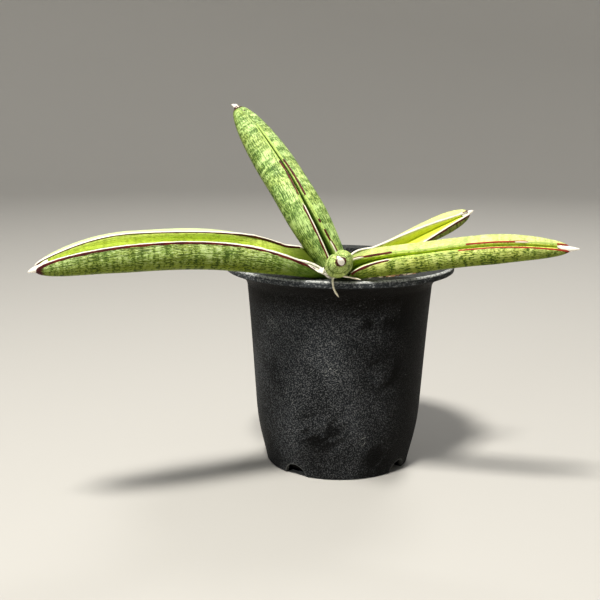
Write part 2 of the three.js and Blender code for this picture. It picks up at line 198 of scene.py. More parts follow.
def draw_up(start, profile):
    """Extrudes the open edge through a profile of radii and heights in millimetres, and closes it."""
    radius, height = start
    for next_radius, next_height in profile:
        rise = (next_height - height) * MM
        bpy.ops.mesh.extrude_region_move(TRANSFORM_OT_translate={"value": (0, 0, rise)})
        share = next_radius / radius
        bpy.ops.transform.resize(value=(share, share, 1))
        radius, height = next_radius, next_height
    bpy.ops.mesh.edge_face_add()
    bpy.ops.mesh.select_all(action="SELECT")
    bpy.ops.mesh.normals_make_consistent(inside=False)
    bpy.ops.object.mode_set(mode="OBJECT")


def pick(*pieces):
    """Selects these pieces alone and works on the first."""
    deselect()
    for piece in pieces:
        piece.select_set(True)
    bpy.context.view_layer.objects.active = pieces[0]


outside = [(FOOT - 1.2, 0), (FOOT - 0.5, 0.15), (FOOT - 0.1, 0.5), (FOOT, 1)]
outside += bend((FOOT, 1), (30.4, 9), (32.2, 14), SHOULDER, 14)
outside += bend(SHOULDER, (33.9, 38), (35.0, 56), NECK, 10)
outside += bend(NECK, (36.8, 75.2), (40, 76.3), (44.5, 78.1), 12)
outside += [(44.86, 78.35), (45, 78.7), (45, 80.15), (44.88, 80.5), (44.6, 80.72), (44.2, 80.8)]
outside += [(42.2, 80.74), (40, 80.72), (38.4, 80.8), (37.9, 80.68), (MOUTH, 80.3)]
inside = bend((MOUTH, 80.3), (37.2, 78), (35.6, 74), (NECK[0] - POT_WALL, 71), 6)
inside += bend(inside[-1], (33.8, 56), (32.7, 38), (SHOULDER[0] - POT_WALL, 24), 6)
inside += bend(inside[-1], (31, 14.4), (29.2, 9.6), (FOOT - POT_WALL, 2.2), 8)
inside += [(FOOT - POT_WALL - 0.8, 1.6)]

deselect()
bpy.ops.mesh.primitive_circle_add(vertices=160, radius=outside[0][0] * MM, fill_type="TRIFAN")
pot = bpy.context.object
pot.name = "pot_shell"
bpy.ops.object.mode_set(mode="EDIT")
pick_open_edges()
draw_up(outside[0], outside[1:] + inside)

for angle in NOTCH_ANGLES:
    deselect()
    middle = Vector((cos(radians(angle)) * 30, sin(radians(angle)) * 30, NOTCH_CENTRE)) * MM
    facing_out = Matrix.Rotation(radians(angle), 3, "Z") @ Matrix.Rotation(radians(90), 3, "Y")
    bpy.ops.mesh.primitive_cylinder_add(
        vertices=56, radius=NOTCH_WIDTH / 2 * MM, depth=12 * MM, location=middle, rotation=facing_out.to_euler()
    )
    cutter = bpy.context.object
    pick(pot)
    cut = pot.modifiers.new("notch", "BOOLEAN")
    cut.object = cutter
    cut.operation = "DIFFERENCE"
    cut.solver = "EXACT"
    bpy.ops.object.modifier_apply(modifier="notch")
    bpy.data.objects.remove(cutter)
bpy.ops.object.shade_smooth_by_angle(angle=radians(40))


def effect(name, inputs, outputs):
    """An empty shader node group with named numbers in and numbers or colours out."""
    group = bpy.data.node_groups.new(name, "ShaderNodeTree")
    for socket, kind, value in inputs:
        made = group.interface.new_socket(socket, in_out="INPUT", socket_type="NodeSocket" + kind)
        if value is not None:
            made.default_value = value
    for socket, kind in outputs:
        group.interface.new_socket(socket, in_out="OUTPUT", socket_type="NodeSocket" + kind)
    return group, group.nodes.new("NodeGroupInput"), group.nodes.new("NodeGroupOutput")


def use(tree, group, inputs):
    return put(tree, "Group", inputs, node_tree=group)


def stretched(tree, vector, size, **noise_inputs):
    """Noise on a vector that is stretched first."""
    moved = put(tree, "Mapping", {"Vector": vector, "Scale": size}, vector_type="POINT").outputs[0]
    return put(tree, "TexNoise", {"Vector": moved, "Scale": 1.0, **noise_inputs}).outputs[0]


# Patches: soft clouds with ragged edges, for dust, stains and fading.
patches, given, result = effect(
    "patches",
    [("Vector", "Vector", None), ("Scale", "Float", 30.0), ("Low", "Float", 0.45), ("High", "Float", 0.6)],
    [("Mask", "Float")],
)
cloud = {"Vector": given.outputs[0], "Scale": given.outputs[1], "Detail": 6.0, "Roughness": 0.62}
cloud = put(patches, "TexNoise", cloud).outputs[0]
patches.links.new(spread(patches, cloud, given.outputs[2], given.outputs[3]), result.inputs[0])

# Fine grain: the even sandy tooth of a spark-finished mould, or of dried skin.
grain, given, result = effect(
    "fine_grain",
    [("Vector", "Vector", None), ("Scale", "Float", 1500.0)],
    [("Height", "Float"), ("Specks", "Float")],
)
tooth = {"Vector": given.outputs[0], "Scale": given.outputs[1], "Detail": 1.0, "Roughness": 0.5}
tooth = put(grain, "TexNoise", tooth).outputs[0]
grain.links.new(tooth, result.inputs[0])
grain.links.new(spread(grain, tooth, 0.52, 0.64), result.inputs[1])


def roughen(tree, shader, height, distance, strength):
    """Relief too fine to model, for the light to catch."""
    bump = put(tree, "Bump", {"Height": height, "Distance": distance, "Strength": strength})
    tree.links.new(bump.outputs[0], shader.inputs["Normal"])


def coat(tree, colour, *layers):
    """Lays colours over a colour, each as far as its own mask says."""
    for mask, over in layers:
        colour = mixed(tree, mask, colour, over)
    return colour


def distance(tree, first, second):
    return put(tree, "VectorMath", {0: first, 1: second}, operation="DISTANCE").outputs["Value"]


def near(tree, place, spots):
    """One close to any of the spots, which are places and radii in millimetres, and nought beyond."""
    found = 0.0
    for spot, reach in spots:
        apart = distance(tree, place, [c * MM for c in spot])
        found = sums(tree, "MAXIMUM", spread(tree, apart, reach * MM, 0.3 * reach * MM), found)
    return found


# Dark patches on the wall: partly smudges, and partly painted shadows that the leaves cast on it.
SMUDGES_AND_SHADOWS = [((8, -34, 65), 7), ((20, -28, 66), 13), ((16, -29, 43), 12)]
SMUDGES_AND_SHADOWS += [((-7, -31, 20), 14), ((15, -27, 9), 11), ((4, 33, 30), 14)]
SCUFFED = [((-26, -24, 60), 4), ((-4, -34, 45), 4), ((7, -34, 70), 3), ((9, -30, 17), 3), ((30, 16, 52), 5)]
plastic, tree, shader = finish_for("black_polypropylene")
place = put(tree, "TexCoord").outputs["Object"]
axes = put(tree, "SeparateXYZ", {0: place}).outputs
height_mm = times(tree, axes[2], 1000.0)
tooth = use(tree, grain, {"Vector": place, "Scale": 2300.0})
clouds = use(tree, patches, {"Vector": place, "Scale": 34.0, "Low": 0.38, "High": 0.66}).outputs[0]
# Dust and painted light: the wall is lighter on the side that faces the light, front left, where the dust
# clouds also lie, and it darkens towards the foot.
painted_sunlit_side = sums(tree, "SUBTRACT", times(tree, axes[0], -0.5), times(tree, axes[1], 0.85))
painted_sunlit_side = spread(tree, painted_sunlit_side, 0.005, 0.036, 0.03, 1.0)
dust_and_sunlit_side = times(tree, painted_sunlit_side, sums(tree, "ADD", clouds, 0.5), True)
dust_and_sunlit_side = times(tree, dust_and_sunlit_side, spread(tree, height_mm, 4.0, 28.0, 0.66, 1.0))
# Pale glints on the grain, a painted highlight that is strongest on the lit side.
glints = times(tree, tooth.outputs[1], sums(tree, "ADD", dust_and_sunlit_side, 0.15, True))
slant = put(tree, "Mapping", {"Vector": place, "Rotation": (0, radians(-55), 0)}).outputs[0]
drawn = put(tree, "Mapping", {"Vector": slant, "Scale": (1.0, 1.0, 0.3)}).outputs[0]
ragged = use(tree, patches, {"Vector": drawn, "Scale": 170.0, "Low": 0.43, "High": 0.54}).outputs[0]
# The dark patches, drawn out on a slant: smudges and painted leaf shadows.
smudge_and_leaf_shadow = times(tree, near(tree, place, SMUDGES_AND_SHADOWS), ragged)
# Painted shadow: a dark brown band on the wall under the flange, which shades it.
painted_flange_shadow = times(tree, spread(tree, height_mm, 62.0, 72.0), spread(tree, height_mm, 79.5, 78.0))
nicks = stretched(tree, slant, (2600, 2600, 420), Detail=0.0)
chips = stretched(tree, place, (1700, 1700, 1700), Detail=1.0)
marks = sums(tree, "MAXIMUM", spread(tree, nicks, 0.68, 0.74), spread(tree, chips, 0.7, 0.74))
scuffs = times(tree, marks, near(tree, place, SCUFFED))
stray = times(tree, spread(tree, chips, 0.79, 0.81), 0.7)
turned = put(tree, "Mapping", {"Vector": place, "Rotation": (0, 0, radians(-NOTCH_ANGLES[0]))}).outputs[0]
sides = [sums(tree, "ABSOLUTE", one) for one in put(tree, "SeparateXYZ", {0: turned}).outputs[:2]]
side = sums(tree, "MINIMUM", *sides)
arch = put(tree, "CombineXYZ", {0: side, 1: 0.0, 2: axes[2]}).outputs[0]
from_arch = distance(tree, arch, (0, 0, NOTCH_CENTRE * MM))
# A painted highlight along the edge of the drain notch's arch; the pale scuffs and stray specks added to it are
# real wear.
scuffs_and_arch_highlight = spread(tree, from_arch, (NOTCH_WIDTH / 2 + 0.5) * MM, NOTCH_WIDTH / 2 * MM, 0.0, 0.3)
scuffs_and_arch_highlight = sums(tree, "MAXIMUM", sums(tree, "MAXIMUM", scuffs, stray), scuffs_and_arch_highlight)
# Painted light: the lip's upright face is lighter and bluish where sky light falls on it; the pale specks
# spattered on it stay within that band.
lip = times(tree, spread(tree, height_mm, 77.9, 78.5, 0.0, 0.75), sums(tree, "ADD", dust_and_sunlit_side, 0.3, True))
spattered = stretched(tree, place, (1000, 1000, 1500), Detail=2.0, Roughness=0.7)
spatter = times(tree, spread(tree, spattered, 0.53, 0.66), lip)
level = put(tree, "CombineXYZ", {0: axes[0], 1: axes[1], 2: 0.0}).outputs[0]
radius_mm = times(tree, distance(tree, level, (0, 0, 0)), 1000.0)
# Painted highlight: a bright line along the rounded top edge of the rim, broken into specks.
painted_rim_highlight = times(tree, spread(tree, radius_mm, 43.7, 44.3), spread(tree, height_mm, 79.9, 80.4, 0.0, 0.9))
painted_rim_highlight = times(tree, painted_rim_highlight, sums(tree, "ADD", spread(tree, spattered, 0.42, 0.56), 0.3, True))
base = coat(
    tree,
    mixed(tree, dust_and_sunlit_side, srgb(4, 4, 3), srgb(45, 48, 52)),
    (spread(tree, tooth.outputs[0], 0.5, 0.4, 0.0, 0.6), srgb(5, 5, 5)),
    (glints, srgb(98, 99, 100)),
    (times(tree, smudge_and_leaf_shadow, 0.85), srgb(4, 4, 3)),
    (times(tree, painted_flange_shadow, 0.8), srgb(12, 9, 5)),
    (scuffs_and_arch_highlight, srgb(150, 152, 148)),
    (lip, srgb(58, 62, 66)),
    (spatter, srgb(150, 153, 154)),
    # Painted light: the flange's top face is lighter, as the light falls on it.
    (spread(tree, height_mm, 80.1, 80.7, 0.0, 0.35), srgb(84, 86, 84)),
    (painted_rim_highlight, srgb(196, 199, 198)),
    # Painted shade: the pot's floor inside the foot is nearly black, as it lies shaded behind the drain
    # notches.
    (spread(tree, radius_mm, 27.3, 26.6), srgb(3, 3, 3)),
)
tree.links.new(base, shader.inputs["Base Color"])
tree.links.new(spread(tree, tooth.outputs[0], 0.35, 0.65, 0.5, 0.66), shader.inputs["Roughness"])
roughen(tree, shader, tooth.outputs[0], 0.0005, 0.9)
settle(shader, {"Specular IOR Level": 0.05})
wear(pot, plastic)
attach(pot, "root")
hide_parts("pot")

# Leaves: five thick, boat-shaped leaves grow from one crown. Each is firm green flesh under a tight
# waxy skin, with a channel along its upper side that is open on some and nearly shut on others.

# path is the middle line from root to tip in millimetres, and facing which way the channel opens at
# either end. half is half the greatest width and flat the depth against it. foot is the root's share of
# it and full where it is reached. taper is where the end begins, power how blunt it is, and sink how
# far it drops. channel, depth and open are the channel's width, depth and roundness at even stations,
# and shows how far along it keeps a colour of its own. far is the side of the far edge. slip, wing,
# reach and shoulder move and bow that edge, and pale is how many points of the far flank take its
# painted light. ridged is how strongly the skin is ringed, and shade how dark the painted shade on the
# underside is.
LEAVES = {
    "leaf_standing": {
        "path": [
            (1.6, -31, 73.2), (-4.5, -31, 86.5), (-15, -26.5, 104.7), (-24.5, -15, 118.8), (-40, -1.2, 140.7),
        ],
        "facing": [(0.32, -0.94, 0.1), (0.53, -0.88, 0.1)],
        "half": 7.8, "flat": 0.75, "foot": 0.61, "full": 0.41, "taper": 0.62, "power": 1.8, "sink": 0.17,
        "channel": [4.4, 2.7, 1.4, 0.6], "depth": [4, 3, 1.6, 0.15],
        "open": [1.2, 0.55, 0.4, 0.5], "shows": 0.86,
    },
    "leaf_short": {
        "path": [
            (2.8, -29.5, 76.3), (8.2, -29, 84.6), (18, -25.5, 88.9), (31.2, -20.5, 95), (47.8, -17, 102.4),
        ],
        "facing": [(0.52, -0.74, 0.5), (0.72, -0.82, 0.5)],
        "half": 4.1, "flat": 0.79, "foot": 0.61, "full": 0.34, "taper": 0.76, "power": 1.87, "sink": 0.21,
        "channel": [6.2, 7.6, 4.8, 1], "depth": [3, 3, 2.4, 0.8],
        "open": [2.2, 1.8, 1.6, 1.4], "shows": 2,
        "far": 1, "slip": (3.6, 0.29, 0.13), "pale": 20,
    },
    "leaf_forward": {
        "path": [
            (1, -27, 75), (0.4, -29, 83.2), (-1.05, -38, 87.0), (-2.15, -52, 88.1), (-2.25, -66.5, 91.9),
        ],
        "facing": [(-0.6, 0.1, 1), (-0.62, 0.1, 1)],
        "half": 4.84, "flat": 0.84, "foot": 0.5, "full": 0.6, "taper": 0.7, "power": 2.2, "sink": 0.1,
        "channel": [4, 2.4, 0.8, 0.6], "depth": [2.5, 2, 0.3, 0.15],
        "open": [1.5, 0.8, 0.5, 0.5], "shows": 0.62,
        "shade": 0.45, "ridged": 0.13,
    },
    "leaf_left": {
        "path": [
            (4.5, -30, 75.8), (-6.8, -35.5, 83), (-40.6, -49, 92.3), (-77.4, -66.5, 94.3), (-101.5, -76, 91.4),
        ],
        "facing": [(0.35, -0.45, 1), (0.34, -0.87, 1)],
        "half": 7.9, "flat": 0.78, "foot": 0.4, "full": 0.42, "taper": 0.74, "power": 1.45, "sink": 0.45,
        "channel": [8, 6.9, 5.65, 4.9, 5, 1.6], "depth": [4.4, 4.6, 4, 3.3, 2.4, 0.8],
        "open": [2.2, 2.2, 2, 1.4], "shows": 2,
        "wing": 5.2, "shoulder": 0.9,
    },
    "leaf_right": {
        "path": [
            (1.8, -30.5, 76.3), (3.4, -38.2, 84.3), (29.6, -46.5, 90.5), (54.5, -54, 94.5), (76.2, -57, 95.3),
        ],
        "facing": [(-0.14, -0.73, 0.56), (-0.15, -1.01, 0.56)],
        "half": 5.45, "flat": 0.78, "foot": 0.73, "full": 0.27, "taper": 0.7, "power": 1.25, "sink": 0.27,
        "channel": [8.5, 2.5, 1.8, 1.9], "depth": [3.4, 2.4, 2.2, 1],
        "open": [2.2, 0.6, 0.5, 0.6], "shows": 2,
        "far": 1, "slip": (-1.1, 0.36, 0.2), "reach": 9, "pale": 26,
    },
}
STATIONS = 150
TIP_CROWDING = 1.35
BACK_ROWS = 53
CHANNEL_ROWS = 21
TIP_SHARE = 0.1
LAND = 0.5


def cubic(p, q, r, s, a, b, c, u):
    """One stretch of a centripetal spline from q to r. a, b and c are the knot distances."""
    first = (q - p) / a - (r - p) / (a + b) + (r - q) / b
    second = (r - q) / b - (s - q) / (b + c) + (s - r) / c
    first, second = first * b, second * b
    return q + first * u + (3 * (r - q) - 2 * first - second) * u**2 + (2 * (q - r) + first + second) * u**3


def trace(points, fine=80):
    """A smooth line through points: its places, directions and distances along the way."""
    points = np.array(points, float)
    points = np.vstack([2 * points[0] - points[1], points, 2 * points[-1] - points[-2]])
    places = [points[1]]
    for k in range(1, len(points) - 2):
        four = points[k - 1 : k + 3]
        knots = [max(np.linalg.norm(four[i + 1] - four[i]) ** 0.5, 1e-4) for i in range(3)]
        places += [cubic(*four, *knots, u) for u in np.arange(1, fine + 1) / fine]
    places = np.array(places)
    steps = np.linalg.norm(np.diff(places, axis=0), axis=1)
    along = np.concatenate([[0], np.cumsum(steps)])
    return places, along


def at(line, t):
    """The place and the direction at a share t of the line's length."""
    places, along = line
    where = t * along[-1]
    spot = lambda s: np.array([np.interp(s, along, places[:, k]) for k in range(3)])
    way = spot(min(where + 0.4, along[-1])) - spot(max(where - 0.4, 0))
    return spot(where), way / np.linalg.norm(way)


def run(values, t):
    """A smooth run through values that are given at even stations."""
    u = t * (len(values) - 1)
    k = min(int(u), len(values) - 2)
    p = [values[min(max(k + j, 0), len(values) - 1)] for j in (-1, 0, 1, 2)]
    u -= k
    slope, late, step = (p[2] - p[0]) / 2, (p[3] - p[1]) / 2, p[2] - p[1]
    return (slope + late - 2 * step) * u**3 + (3 * step - 2 * slope - late) * u**2 + slope * u + p[1]


def share_along(i):
    """The share of a leaf's length at one station. They crowd towards the tip."""
    return 1 - (1 - i / STATIONS) ** TIP_CROWDING


def section(leaf, t):
    """The leaf's measures across one station."""
    closed = np.clip((t - leaf["taper"]) / (1 - leaf["taper"]), 0, 1) ** leaf["power"]
    end = (1 - closed) ** 0.5 * (1 - TIP_SHARE) + TIP_SHARE
    u = min(t / leaf["full"], 1)
    girth = (leaf["foot"] + (1 - leaf["foot"]) * u * u * (3 - 2 * u)) * end
    across = leaf["half"] * girth
    deep = across * leaf["flat"]
    sink = leaf["sink"] * leaf["half"] * leaf["flat"] * (1 - end)
    half = min(max(run(leaf["channel"], t) / 2, 0.3), 0.93 * across)
    depth = min(max(run(leaf["depth"], t), 0.12), 1.25 * deep)
    return across, deep, sink, half, depth


def stance(leaf, t):
    """Where the leaf's middle is at one station, and which way it lies there."""
    middle, way = at(leaf["line"], t)
    facing = np.array(leaf["facing"][0]) * (1 - t) + np.array(leaf["facing"][1]) * t
    facing = facing - facing.dot(way) * way
    facing /= np.linalg.norm(facing)
    middle = middle - facing * section(leaf, t)[2]
    return middle, np.cross(facing, way), facing, way


def outline(leaf, t):
    """The section's points, from one edge round the back to the other and back through the channel."""
    across, deep, _, half, depth = section(leaf, t)
    turn = np.arcsin(half / across)
    land = min(LAND, 0.45 * half)
    start = turn + land / across
    w = np.linspace(0, 1, BACK_ROWS)
    angle = start + (2 * pi - 2 * start) * (w - 0.55 * np.sin(2 * pi * w) / (2 * pi))
    back = np.stack([-across * np.sin(angle), deep * np.cos(angle)], 1)
    reach = half - land
    brow = min(depth, land)
    side = np.linspace(1, -1, CHANNEL_ROWS)
    fall = 1 - np.abs(side) ** run(leaf["open"], t)
    bed = deep * cos(turn) - brow - (depth - brow) * fall
    return back, np.stack([reach * side, bed], 1), angle


def roll_sheet(name, places, grain_size):
    """A sheet of cloth-fine mesh laid on rows of places, its long edges joined into a tube.
    grain_size is the length and girth in centimetres that its own map shows."""
    stations, rows = places.shape[:2]
    deselect()
    bpy.ops.mesh.primitive_grid_add(x_subdivisions=stations - 1, y_subdivisions=rows - 1, size=1)
    piece = bpy.context.object
    piece.name = name
    flat = np.zeros(len(piece.data.vertices) * 3)
    piece.data.vertices.foreach_get("co", flat)
    flat = flat.reshape(-1, 3) + 0.5
    i = np.rint(flat[:, 0] * (stations - 1)).astype(int)
    j = np.rint(flat[:, 1] * (rows - 1)).astype(int)
    piece.data.vertices.foreach_set("co", (places[i, j] * MM).ravel())
    for loop in piece.data.uv_layers[0].data:
        loop.uv = (loop.uv[0] * grain_size[0], (loop.uv[1] - 0.5) * grain_size[1])
    return piece, i, j


def note(piece, name, values):
    """Keeps one number for each point of the mesh, for the finish to read."""
    kept = piece.data.attributes.new(name, "FLOAT", "POINT")
    kept.data.foreach_set("value", np.asarray(values, np.float32))


def close_up(piece):
    """Joins the seam, closes the ends and turns the skin outwards."""
    pick(piece)
    bpy.ops.object.mode_set(mode="EDIT")
    bpy.ops.mesh.select_all(action="SELECT")
    bpy.ops.mesh.remove_doubles(threshold=1e-6)
    pick_open_edges()
    bpy.ops.mesh.fill_holes(sides=0)
    bpy.ops.mesh.select_all(action="SELECT")
    bpy.ops.mesh.normals_make_consistent(inside=False)
    bpy.ops.object.mode_set(mode="OBJECT")
    bpy.ops.object.shade_smooth_by_angle(angle=radians(50))


def rest_on_rim(place):
    """A leaf that lies over the rim is pressed flat where it would sink into it."""
    radius = np.hypot(place[0], place[1])
    if MOUTH - 0.4 < radius < RIM[0] + 0.3 and RIM[1] - 3 < place[2] < RIM[1] + 0.15:
        place[2] = RIM[1] + 0.15
    return place


def ramp(value, low, high):
    """Nought at low, one at high and smooth between them."""
    u = min(1, max(0, (value - low) / (high - low)))
    return u * u * (3 - 2 * u)


def wing(leaf, t):
    """How far a leaf's far edge spreads and rises near its root, where it wraps round the next leaf."""
    spread_out = leaf.get("wing", 0) * ramp(t, 0.1, 0.19) * ramp(t, 0.44, 0.26)
    rise = -0.76 * spread_out + 0.52 * leaf.get("wing", 0) * ramp(t, 0.25, 0.17)
    slip, low, high = leaf.get("slip", (0, 0, 1))
    return np.array([slip * ramp(t, low, high) * ramp(t, 0.04, 0.1) - spread_out, rise])


def grow_leaf(name):
    leaf = LEAVES[name]
    leaf["line"] = trace(leaf["path"])
    length = leaf["line"][1][-1]
    rows = BACK_ROWS + CHANNEL_ROWS + 1
    inner = slice(BACK_ROWS, BACK_ROWS + CHANNEL_ROWS)
    side = np.linspace(-1, 1, CHANNEL_ROWS)
    places = np.zeros((STATIONS + 1, rows, 3))
    marks = {mark: np.zeros((STATIONS + 1, rows)) for mark in ("channel", "deep_in", "under", "along", "far")}
    for i in range(STATIONS + 1):
        t = share_along(i)
        middle, across, facing, _ = stance(leaf, t)
        back, bed, angle = outline(leaf, t)
        swell = []
        for k, (x, y) in enumerate(back):
            spot = Vector((t * length / 26, angle[k] * 1.1, length))
            ridge = noise.noise(Vector((t * length / 60, angle[k] * 3.5, 5 + length)))
            edge = min(1, min(k, BACK_ROWS - 1 - k) / 6)
            fold = leaf.get("ridged", 0) * noise.noise(Vector((t * length / 1.0, angle[k] * 0.25, 9)))
            swell.append(1 + edge * (0.018 * noise.noise(spot) + 0.012 * ridge + fold))
        back = back * np.array(swell)[:, None]
        sloped = np.sin(pi * np.clip((angle - angle[0]) / (2.0 - angle[0]), 0, 1))
        back[:, 1] -= leaf.get("shoulder", 0) * (ramp(t, 0.52, 0.72) + 0.7 * ramp(t, 0.5, 0.38)) * sloped
        ring = np.vstack([back, bed, back[:1]])
        thin = np.clip(1 - np.arange(BACK_ROWS) / leaf.get("reach", 30), 0, 1)
        held = np.clip(side, 0, 1) ** 2.5
        # Points of the far, upper flank take painted light, fading out across it.
        far_side_light = np.clip(1 - np.arange(BACK_ROWS) / leaf.get("pale", 15), 0, 1)
        if leaf.get("far", -1) > 0:
            thin, held, far_side_light = thin[::-1], held[::-1], far_side_light[::-1]
        ring += np.concatenate([thin, held, thin[:1]])[:, None] * wing(leaf, t)
        lay = middle + ring[:, :1] * across + ring[:, 1:] * facing
        places[i] = [rest_on_rim(p) for p in lay]
        marks["channel"][i, inner] = min(1, max(0, (leaf["shows"] - t) / 0.08))
        marks["deep_in"][i, inner] = 1 - np.abs(side)
        marks["along"][i] = t
        marks["far"][i, :BACK_ROWS] = far_side_light
        normal = np.sin(angle)[:, None] * -across + np.cos(angle)[:, None] * facing
        # Painted shade: points that face down are marked to be darkened.
        marks["under"][i, :BACK_ROWS] = leaf.get("shade", 1) * np.clip((0.35 - normal[:, 2]) / 1.1, 0, 1)
    piece, i, j = roll_sheet(name + "_flesh", places, (length / 10, leaf["half"] * 0.55))
    for mark, values in marks.items():
        note(piece, mark, values[i, j])
    close_up(piece)
    return piece


# Mottling of the skin: irregular cross bands, fine flecks that gather in them, a few short dark dashes
# along the leaf and long thin creases. The vector is in centimetres along and round the leaf, a low
# girdle draws the bands out into rings, and Creases and Thin say how the creases run.
mottle, given, result = effect(
    "leaf_mottling",
    [
        ("Vector", "Vector", None),
        ("Girdle", "Float", 0.9),
        ("Creases", "Vector", None),
        ("Thin", "Float", 0.02),
    ],
    [(name, "Float") for name in ("Bands", "Flecks", "Sparks", "Dashes", "Streaks", "Creases")],
)
belt = put(mottle, "CombineXYZ", {0: 4.2, 1: given.outputs[1], 2: 1.0}).outputs[0]
bands = stretched(mottle, given.outputs[0], belt, Detail=4.0, Roughness=0.6, Distortion=0.5)
flecks = stretched(mottle, given.outputs[0], (6.5, 22.0, 1), Detail=2.0, Roughness=0.8)
dashes = stretched(mottle, given.outputs[0], (1.6, 22.0, 1), Detail=1.0, Roughness=0.4)
streaks = stretched(mottle, given.outputs[0], (0.35, 8.0, 1), Detail=3.0, Roughness=0.6)
crease = stretched(mottle, given.outputs[0], given.outputs[2], Detail=1.0, Roughness=0.4)
crease = sums(mottle, "ABSOLUTE", sums(mottle, "SUBTRACT", crease, 0.5))
gathered = sums(mottle, "ADD", flecks, times(mottle, sums(mottle, "SUBTRACT", bands, 0.5), 0.55))
mottle.links.new(spread(mottle, bands, 0.42, 0.58), result.inputs[0])
mottle.links.new(spread(mottle, gathered, 0.525, 0.555), result.inputs[1])
mottle.links.new(spread(mottle, gathered, 0.45, 0.41), result.inputs[2])
mottle.links.new(spread(mottle, dashes, 0.6, 0.64), result.inputs[3])
mottle.links.new(streaks, result.inputs[4])
mottle.links.new(spread(mottle, crease, given.outputs[3], 0.0), result.inputs[5])


def value_of(tree, attribute):
    return put(tree, "Attribute", attribute_name=attribute).outputs["Fac"]


def leaf_skin(
    name, tones, bed_tones, shut, streaky=0.3, girdle=0.9, creases=(0.22, 2.6, 1), thin=0.035,
    rooted=0.27, flecked=0.8, far_side_light=0.0, clasped=0.0,
):
    """Waxy skin: pale and mid green with flecks outside, clear green in the channel.
    tones are bright, pale, mid, yellow and dark. bed_tones are lip, bed and depth of the channel.
    shut is how far in the painted shade at the channel's bottom reaches, streaky and flecked how strong the
    streaks and flecks are, rooted how far up from the root the skin is darker, far_side_light how much painted
    light the far, upper flank takes, and clasped how dark the channel is at the root. girdle, creases and
    thin go to the mottling."""
    bright, pale, mid, yellow, dark = [srgb(*tone) for tone in tones]
    lip, bed, depth = [srgb(*tone) for tone in bed_tones]
    made, tree, shader = finish_for(name)
    vector = put(tree, "TexCoord").outputs["UV"]
    pattern = {"Vector": vector, "Girdle": girdle, "Creases": creases, "Thin": thin}
    pattern = use(tree, mottle, pattern).outputs
    marks = [value_of(tree, mark) for mark in ("along", "channel", "under", "deep_in", "far")]
    along, channel, under, deep_in, far = marks
    # Painted light: the far, upper flank is paler where the light falls on it.
    painted_far_light = spread(tree, far, 0.0, 0.6, 0.0, far_side_light)
    warmth = stretched(tree, vector, (0.9, 1.0, 1), Detail=2.0, Roughness=0.5)
    # The creases are darkened as painted shade, as well as sunk in the relief below.
    creased = times(tree, pattern["Creases"], streaky)
    # Painted shade: the underside is darker olive, with its flecks, as shaded from above.
    shaded = mixed(tree, pattern["Flecks"], srgb(106, 120, 8), srgb(50, 66, 4))
    # The channel: pale at its lips, with painted shade darkening it towards its bottom.
    inner = coat(
        tree,
        mixed(tree, spread(tree, deep_in, 0.0, 0.4), lip, bed),
        (spread(tree, deep_in, shut, 1.0), depth),
        (times(tree, pattern["Flecks"], 0.5), depth),
    )
    olive = times(tree, channel, spread(tree, along, 0.3, 0.17, 0.0, clasped))
    ends = sums(tree, "ADD", along, times(tree, pattern["Streaks"], 0.02))
    colour = coat(
        tree,
        mixed(tree, pattern["Bands"], pale, mid),
        (spread(tree, warmth, 0.42, 0.66, 0.0, 0.6), yellow),
        (times(tree, pattern["Sparks"], 0.7), bright),
        (times(tree, pattern["Flecks"], flecked), dark),
        (times(tree, pattern["Dashes"], 0.75), dark),
        (spread(tree, pattern["Streaks"], 0.52, 0.68, 0.0, streaky), dark),
        (creased, dark),
        (painted_far_light, bright),
        (spread(tree, under, 0.0, 1.0, 0.0, 0.92), shaded),
        (channel, inner),
        (spread(tree, along, rooted, rooted - 0.2, 0.0, 0.76), srgb(62, 92, 14)),
        (olive, srgb(60, 72, 4)),
        (spread(tree, ends, 0.988, 1.0), srgb(62, 18, 14)),
    )
    tree.links.new(colour, shader.inputs["Base Color"])
    tree.links.new(spread(tree, pattern["Flecks"], 0.0, 1.0, 0.46, 0.6), shader.inputs["Roughness"])
    relief = times(tree, pattern["Streaks"], 0.8)
    relief = sums(tree, "SUBTRACT", relief, times(tree, pattern["Flecks"], 0.14))
    relief = sums(tree, "SUBTRACT", relief, creased)
    roughen(tree, shader, relief, 0.0005, 0.4)
    settle(shader, {"Specular IOR Level": 0.12, "Subsurface Weight": 0.06})
    settle(shader, {"Subsurface Radius": (0.6, 1.0, 0.2), "Subsurface Scale": 0.002})
    return made


